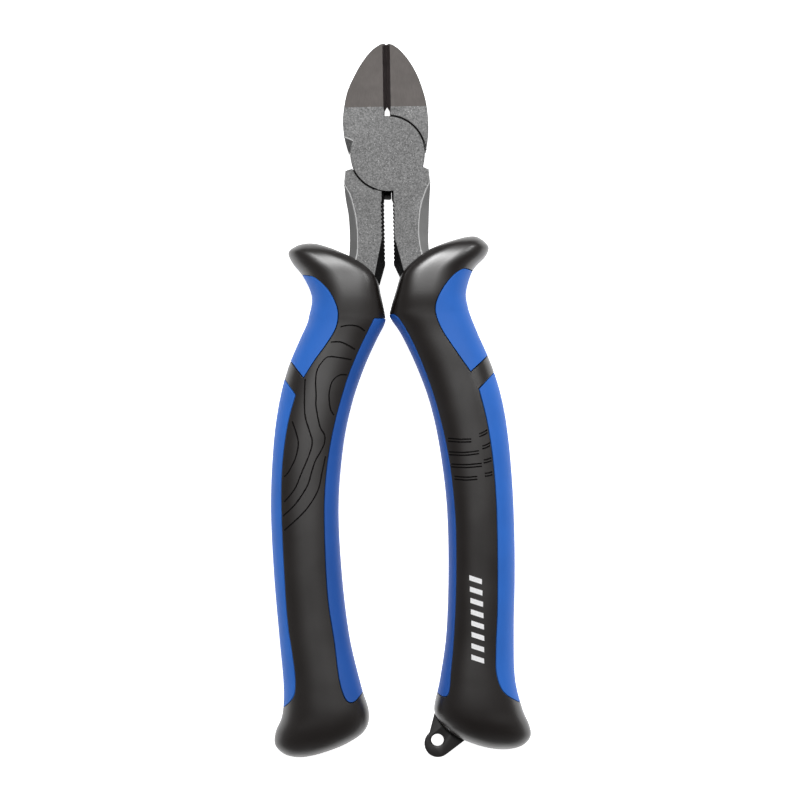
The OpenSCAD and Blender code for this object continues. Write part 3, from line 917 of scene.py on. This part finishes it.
def ground_steel(name, colour, roughness):
    """Surface-ground steel under thin oil: smooth, faintly brown, with hair-fine grinding lines."""
    material, tree, shader, place = finish(name)
    # wheel marks run along the blade; real ones are 0.02 mm wide, drawn at 0.25 mm to show
    stretch = add(tree, "ShaderNodeMapping", {"Vector": place, "Scale": (1, 0.04, 1)})
    lines = add(tree, "ShaderNodeTexNoise", {"Vector": stretch.outputs[0],
                                             "Scale": per_metre(0.25), "Detail": 2}).outputs[0]
    cloud = add(tree, "ShaderNodeTexNoise", {"Vector": place, "Scale": per_metre(5),
                                             "Detail": 3}).outputs[0]
    base = tinted(tree, cloud, colour, 0.93, 1.07)
    tree.links.new(base, shader.inputs["Base Color"])
    shader.inputs["Metallic"].default_value = 1
    rough = add(tree, "ShaderNodeMapRange", {"Value": lines, "To Min": roughness - 0.05,
                                             "To Max": roughness + 0.05}).outputs[0]
    tree.links.new(rough, shader.inputs["Roughness"])
    bump = add(tree, "ShaderNodeBump", {"Height": lines, "Strength": 0.12,
                                        "Distance": 0.01 * MM})
    tree.links.new(bump.outputs[0], shader.inputs["Normal"])
    return material


def near_black_steel():
    """Near-black steel for the throat walls and teeth: dull, slightly mottled."""
    material, tree, shader, place = finish("black_oxide_steel")
    scale = add(tree, "ShaderNodeTexNoise", {"Vector": place, "Scale": per_metre(0.6),
                                             "Detail": 4}).outputs[0]
    tree.links.new(tinted(tree, scale, linear("#0B0A0B"), 0.7, 1.3), shader.inputs["Base Color"])
    shader.inputs["Metallic"].default_value = 0.15
    shader.inputs["Roughness"].default_value = 0.6
    bump = add(tree, "ShaderNodeBump", {"Height": scale, "Strength": 0.3, "Distance": 0.03 * MM})
    tree.links.new(bump.outputs[0], shader.inputs["Normal"])
    return material


def moulded(name, colour, roughness, texture, sheen=0.0, ior=1.5):
    """An injection-moulded skin with the fine even texture of an eroded mould."""
    material, tree, shader, place = finish(name)
    # mould texture of 0.1 mm, drawn at 0.3 mm
    grain = add(tree, "ShaderNodeTexNoise", {"Vector": place, "Scale": per_metre(0.3),
                                             "Detail": 2}).outputs[0]
    handled = add(tree, "ShaderNodeTexNoise", {"Vector": place, "Scale": per_metre(14),
                                               "Detail": 4}).outputs[0]
    tree.links.new(tinted(tree, handled, colour, 0.93, 1.07), shader.inputs["Base Color"])
    rough = add(tree, "ShaderNodeMapRange", {"Value": handled, "From Min": 0.3, "From Max": 0.7,
                                             "To Min": roughness - 0.03,
                                             "To Max": roughness + 0.03}).outputs[0]
    tree.links.new(rough, shader.inputs["Roughness"])
    shader.inputs["IOR"].default_value = ior
    if sheen:
        shader.inputs["Sheen Weight"].default_value = sheen
        shader.inputs["Sheen Roughness"].default_value = 0.5
    bump = add(tree, "ShaderNodeBump", {"Height": grain, "Strength": texture,
                                        "Distance": 0.02 * MM})
    tree.links.new(bump.outputs[0], shader.inputs["Normal"])
    return material


def printed_white():
    """Pad-printed white ink: flat and matt, with pinholes where it missed the texture."""
    material, tree, shader, place = finish("pad_printed_white_ink")
    holes = add(tree, "ShaderNodeTexNoise", {"Vector": place, "Scale": per_metre(0.5),
                                             "Detail": 2}).outputs[0]
    tree.links.new(tinted(tree, holes, linear("#E9E9EA"), 0.9, 1.03),
                   shader.inputs["Base Color"])
    shader.inputs["Roughness"].default_value = 0.6
    return material


def stage_white():
    """A lit white table: matt, and bright enough to fade out around the tool."""
    material, tree, shader, place = finish("white_light_table")
    soft = add(tree, "ShaderNodeTexNoise", {"Vector": place, "Scale": 4, "Detail": 1}).outputs[0]
    tree.links.new(tinted(tree, soft, (0.9, 0.9, 0.9), 0.99, 1.01), shader.inputs["Base Color"])
    shader.inputs["Roughness"].default_value = 0.9
    shader.inputs["Emission Color"].default_value = (1, 1, 1, 1)
    shader.inputs["Emission Strength"].default_value = 1
    return material


# ---- operators ---------------------------------------------------------------------------


def settle(piece, body, slot, *nodes):
    """Puts a finished piece in its place, parents it to its body and hides the solids it stands for;
    slot is not used.
    """
    bring_home(piece)
    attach(piece, body)
    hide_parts(*nodes)


class PLIERS_OT_halves(bpy.types.Operator):
    """Forge the two halves, with their blades, lap discs, teeth and tangs"""

    bl_idname = "pliers.halves"
    bl_label = "Steel halves"

    def execute(self, context):
        sizes, colours = context.scene.pliers_steel, context.scene.pliers_finishes
        finishes = [blasted_steel(colours.blasted),
                    ground_steel("ground_blade_steel", colours.ground, 0.68),
                    near_black_steel(),
                    # finer grind on the edge bevels, with a darker colour that is painted shade
                    ground_steel("ground_edge_steel", linear("#5A5656"), 0.38),
                    ground_steel("belt_ground_flank", linear("#8A8A8A"), 0.6),
                    # light grey for the lower rims and facet lines: painted highlight
                    ground_steel("worn_steel_edge", linear("#ACACAC"), 0.6)]
        half = sizes.head / 2
        for name, side, face, body in (("steel_back_half", 1, -1, BACK_BODY),
                                       ("steel_front_half", -1, 1, FRONT_BODY)):
            piece = forging(name, side, face, sizes, finishes)
            piece.name = name
            if face < 0:
                web = plate("web", [(-2.5, -8), (-2.5, -12.8), (-1.6, -12.8), (-1.2, -12.4),
                                    (0.4, -12.5), (0.85, -12.2), (0.85, -8)], -3.05, -LAP - 0.02)
                combine(piece, web, "UNION")
                combine(piece, round_bar("bore", 3.53, -8, 0, sides=96), "DIFFERENCE")
                sink = round_bar("sink", 5.15, -half - 1, -half + 1.3, sides=96)
                combine(piece, sink, "DIFFERENCE")
            else:
                combine(piece, round_bar("bore", 3.5, -6, half - 0.9, sides=96), "DIFFERENCE")
            face_out(piece)
            self.paint(piece)
            shade(piece, 38)
            take(piece)
            even = piece.modifiers.new("flat faces", "WEIGHTED_NORMAL")
            even.keep_sharp = True
            bpy.ops.object.modifier_apply(modifier=even.name)
            settle(piece, body, "forged_steel",
                   "back_half" if face < 0 else "front_half")
        return {"FINISHED"}

    def paint(self, piece):
        """Ground blades, finely ground edges darkened with painted shade, and a black throat on the
        blasted forging.
        """
        def blades(f):
            return middle(f).y > TAPER_Y - 0.1 and abs(f.normal.z) > 0.9 and f.normal.y > 0.1

        def edges(f):
            return (middle(f).y > 9 and abs(middle(f).x) < 3.4 and abs(f.normal.x) > 0.4
                    and abs(f.normal.z) > 0.2)

        def throat(f):
            inside = abs(middle(f).x) < 9 and -50 < middle(f).y < -9.9 and abs(f.normal.x) > 0.2
            inside = inside or (abs(middle(f).x) < 3 and -38 < middle(f).y < -8)
            return inside and (abs(f.normal.z) < 0.96 or abs(middle(f).z) < 5.2)

        def flanks(f):
            return (abs(middle(f).x) > 8 and middle(f).y < -7 and 0.7 < abs(f.normal.z) < 0.95
                    and f.material_index != PAINTED_HIGHLIGHT_SLOT)

        for slot, test in ((1, blades), (3, edges), (2, throat), (4, flanks)):
            pick(piece, "faces", test)
            piece.active_material_index = slot
            bpy.ops.object.material_slot_assign()
            close_edit()


class PLIERS_OT_stud(bpy.types.Operator):
    """Turn the pivot stud, with its flush countersunk head on the back"""

    bl_idname = "pliers.stud"
    bl_label = "Pivot stud"

    def execute(self, context):
        half = context.scene.pliers_steel.head / 2
        stud = round_bar("turned_pivot_stud", 3.5, -half, half - 0.9, sides=96)
        pick(stud, "faces", lambda f: f.normal.z < -0.9)
        bpy.ops.transform.resize(value=(5 / 3.5, 5 / 3.5, 1))
        close_edit()
        pick(stud, "faces", lambda f: abs(f.normal.z) < 0.9)
        bpy.ops.mesh.bisect(plane_co=(0, 0, -half + 1.3), plane_no=(0, 0, 1))
        close_edit()
        take(stud)
        for vertex in stud.data.vertices:
            flat = Vector((vertex.co.x, vertex.co.y))
            if -half + 0.1 < vertex.co.z < -half + 1.4:
                flat = flat.normalized() * 3.5
                vertex.co.x, vertex.co.y = flat
        break_edges(stud, 0.18, lambda edge: abs(middle(edge).z) > half - 1, 3)
        for share, depth in ((0.55, 0.0), (0.6, 0.25)):
            pick(stud, "faces", lambda f: f.normal.z < -0.99 and middle(f).xy.length < 0.2)
            bpy.ops.mesh.inset(thickness=(1 - share) * 4.6 if depth == 0 else 0.7)
            bpy.ops.transform.translate(value=(0, 0, depth))
            close_edit()
        stud.data.materials.append(ground_steel("turned_stud_steel", linear("#8E8C8A"), 0.34))
        shade(stud, 35)
        settle(stud, FRONT_BODY, "stud_steel", "pivot_stud")
        return {"FINISHED"}


class PLIERS_OT_bodies(bpy.types.Operator):
    """Mould the black bodies of the grips, with their guards, butts and engraved lines"""

    bl_idname = "pliers.bodies"
    bl_label = "Black bodies"

    def execute(self, context):
        sizes = context.scene.pliers_grip
        black = context.scene.pliers_finishes.black
        # the bottom of each engraved line gets a darker colour, painted shade, and a duller surface,
        # so that it reads as a dark line
        groove_floor_shade = moulded("dull_engraved_line", linear("#0C0A0A"), 0.85, 0.1)
        groove_floor_shade.node_tree.nodes["Principled BSDF"].inputs["Specular IOR Level"].default_value = 0.15
        pair = []
        for line in RIGHT_GROOVES:
            pair += [line, [(x, y - GROOVE_PAIR) for x, y in line]]
        for side, form, lines, body, roughness in (
                ("left", LEFT_FORM, LEFT_WAVES, BACK_BODY, 0.38),
                ("right", RIGHT_FORM, pair, FRONT_BODY, 0.34)):
            outline = body_outline(form, [PAD_RUNS[side + "_upper_pad"],
                                          PAD_RUNS[side + "_lower_pad"]],
                                   PAD_RUNS[side + "_inner_pad"], sizes.gap)
            tracks = [evenly(form.flat(smooth(line, 8)), 0.9) for line in lines]
            finish = moulded("satin_moulded_%s_body" % side, black, roughness, 0.25)
            finish.node_tree.nodes["Principled BSDF"].inputs["Specular IOR Level"].default_value = 0.75
            piece = skin(side + "_body_skin", form, outline, sizes, finish, tracks, groove_floor_shade)
            keep_open_normals(piece)
            settle(piece, body, "grip_black", side + "_body")
        return {"FINISHED"}


class PLIERS_OT_pads(bpy.types.Operator):
    """Mould the six blue pads into the black bodies"""

    bl_idname = "pliers.pads"
    bl_label = "Blue pads"

    def execute(self, context):
        sizes = context.scene.pliers_grip
        # thermoplastic rubber: soft and matt
        blue = moulded("soft_moulded_rubber", context.scene.pliers_finishes.blue, 0.6, 0.35)
        # the inner pads get a darker copy of the blue: painted shade on the sides that face inwards
        shaded = moulded("soft_moulded_rubber_inside", linear("#1D52A2"), 0.6, 0.35)
        for finish in (blue, shaded):
            skin_shader = finish.node_tree.nodes["Principled BSDF"]
            skin_shader.inputs["Specular IOR Level"].default_value = 0.35
        for name, runs in PAD_RUNS.items():
            left = name.startswith("left")
            form = LEFT_FORM if left else RIGHT_FORM
            outline = pad_outline(form, runs, sizes.gap, "inner" in name)
            piece = skin(name + "_skin", form, outline, sizes,
                         shaded if "inner" in name else blue)
            keep_open_normals(piece)
            settle(piece, BACK_BODY if left else FRONT_BODY, "pad_blue", name)
        return {"FINISHED"}


class PLIERS_OT_cores(bpy.types.Operator):
    """Finish the hard cores that show at the bottom of the parting lines"""

    bl_idname = "pliers.cores"
    bl_label = "Cores"

    def execute(self, context):
        dark = moulded("hard_moulded_core", linear("#171414"), 0.5, 0.2)
        hidden = moulded("moulding_blank", linear("#1F1C1C"), 0.5, 0.2)
        steel = ground_steel("forging_blank", linear("#7A7878"), 0.45)
        for name, node in frame["nodes"].items():
            node.data.materials.clear()
            if name.endswith("_core"):
                node.data.materials.append(dark)
            elif name in ("back_half", "front_half", "pivot_stud"):
                node.data.materials.append(steel)
            else:
                node.data.materials.append(hidden)
        return {"FINISHED"}


class PLIERS_OT_tab(bpy.types.Operator):
    """Mould the lanyard tab at the end of the right grip"""

    bl_idname = "pliers.tab"
    bl_label = "Lanyard tab"

    def execute(self, context):
        centre, radius, hole, half = Vector((11.2, -165)), 3.8, 1.75, 1.3
        turn = np.radians(np.arange(128, 309, 4))
        nose = [(centre.x + radius * math.cos(a), centre.y + radius * math.sin(a)) for a in turn]
        outline = nose + [(19, -164), (24, -158), (22, -152), (14, -152), (10.3, -156.8)]
        tab = plate("lanyard_tab_plate", outline, -half, half)
        drill = round_bar("drill", hole, -5, 5, sides=64)
        drill.location = (11.1, -164, 0)
        take(drill)
        bpy.ops.object.transform_apply(location=True, rotation=True, scale=True)
        combine(tab, drill, "DIFFERENCE")
        break_edges(tab, 0.35, lambda edge: abs(edge.verts[0].co.z) > half - 0.01
                    and abs(edge.verts[1].co.z) > half - 0.01, 3)
        tab.data.materials.append(moulded("moulded_tab", linear("#1D1B1B"), 0.45, 0.25))
        shade(tab, 40)
        settle(tab, FRONT_BODY, "core_plastic", "lanyard_tab")
        return {"FINISHED"}


class PLIERS_OT_mark(bpy.types.Operator):
    """Print a plain row of slanted bars on the right grip"""

    bl_idname = "pliers.mark"
    bl_label = "Printed bars"

    def execute(self, context):
        form = RIGHT_FORM
        track = evenly(form.flat([(22.4, -119), (22.6, -126), (22.8, -133), (22.6, -141)]), 3.1)
        bars = []
        for u, v in track:
            outline = [(u - 1.75, -v - 1.3), (u - 1.75, -v + 0.1), (u + 1.75, -v + 1.3),
                       (u + 1.75, -v - 0.1)]
            bar = plate("bar", outline, -0.03, 0.03)
            rule_lines(bar, 0.6)
            wrap_sheet(bar, form)
            bars.append(bar)
        mark = join(bars)
        mark.name = "printed_bars"
        face_out(mark)
        mark.data.materials.append(printed_white())
        keep_open_normals(mark)
        bring_home(mark)
        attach(mark, FRONT_BODY)
        return {"FINISHED"}


class PLIERS_OT_stage(bpy.types.Operator):
    """Set up the pale table, the soft lights and the camera straight above"""

    bl_idname = "pliers.stage"
    bl_label = "Stage"

    def execute(self, context):
        scene = context.scene
        deselect()
        bpy.ops.mesh.primitive_plane_add(size=6, location=(0, 0, 0))
        table = bpy.context.object
        table.name = "table"
        pick(table, "faces", lambda f: True)
        bpy.ops.mesh.subdivide(number_cuts=3)
        close_edit()
        table.data.materials.append(stage_white())

        world = bpy.data.worlds.new("soft_tent")
        scene.world = world
        world.use_nodes = True
        tree = world.node_tree
        # a tent whose walls are bright and whose top is open and dark
        way = add(tree, "ShaderNodeTexCoord", {}).outputs["Generated"]
        up = add(tree, "ShaderNodeSeparateXYZ", {"Vector": way}).outputs["Z"]
        glow = add(tree, "ShaderNodeMapRange", {"Value": up, "From Min": 0.1, "From Max": 0.95,
                                                "To Min": 0.4, "To Max": 0.05}).outputs[0]
        tree.links.new(glow, tree.nodes["Background"].inputs["Strength"])
        tree.nodes["Background"].inputs["Color"].default_value = (1, 1, 1, 1)
        for name, place, width, length, power in (
                ("head_softbox", (-0.03, 0.26, 0.62), 0.12, 0.2, 3.4),
                ("side_softbox", (0.3, 0.24, 0.52), 0.08, 0.24, 1.0)):
            deselect()
            bpy.ops.object.light_add(type="AREA", location=place)
            light = bpy.context.object
            light.name = name
            light.data.shape = "RECTANGLE"
            light.data.size = width
            light.data.size_y = length
            light.data.energy = power
            aim = Vector((0, 0, 0.01)) - Vector(place)
            light.rotation_euler = aim.to_track_quat("-Z", "Y").to_euler()
        height, field = 0.933, 0.224
        bpy.ops.object.camera_add(location=(0.00087, 0.00019, height + 0.0085),
                                  rotation=(0, 0, math.radians(-1)))
        camera = bpy.context.object
        camera.data.sensor_width = 36
        camera.data.lens = 36 * height / field
        camera.data.clip_start = 0.01
        scene.camera = camera
        scene.view_settings.view_transform = "Standard"
        return {"FINISHED"}


class PLIERS_PT_panel(bpy.types.Panel):
    """Sizes, finishes and pieces of the pliers"""

    bl_idname = "PLIERS_PT_panel"
    bl_label = "Pliers"
    bl_space_type = "VIEW_3D"
    bl_region_type = "UI"
    bl_category = "Pliers"

    def draw(self, context):
        for group in (context.scene.pliers_steel, context.scene.pliers_grip,
                      context.scene.pliers_finishes):
            box = self.layout.box()
            for name in group.__annotations__:
                box.prop(group, name)
        for operator in OPERATORS:
            self.layout.operator(operator.bl_idname)


GROUPS = {"pliers_steel": SteelSizes, "pliers_grip": GripSizes, "pliers_finishes": Finishes}
OPERATORS = (PLIERS_OT_stage, PLIERS_OT_cores, PLIERS_OT_halves, PLIERS_OT_stud,
             PLIERS_OT_bodies, PLIERS_OT_pads, PLIERS_OT_tab, PLIERS_OT_mark)


def register():
    for group in GROUPS.values():
        bpy.utils.register_class(group)
    for name, group in GROUPS.items():
        setattr(bpy.types.Scene, name, PointerProperty(type=group))
    for operator in OPERATORS:
        bpy.utils.register_class(operator)
    bpy.utils.register_class(PLIERS_PT_panel)


def unregister():
    bpy.utils.unregister_class(PLIERS_PT_panel)
    for operator in reversed(OPERATORS):
        bpy.utils.unregister_class(operator)
    for name, group in GROUPS.items():
        delattr(bpy.types.Scene, name)
        bpy.utils.unregister_class(group)


def main():
    register()
    for operator in OPERATORS:
        group, action = operator.bl_idname.split(".")
        getattr(getattr(bpy.ops, group), action)()
    deselect()


if __name__ == "__main__":
    main()
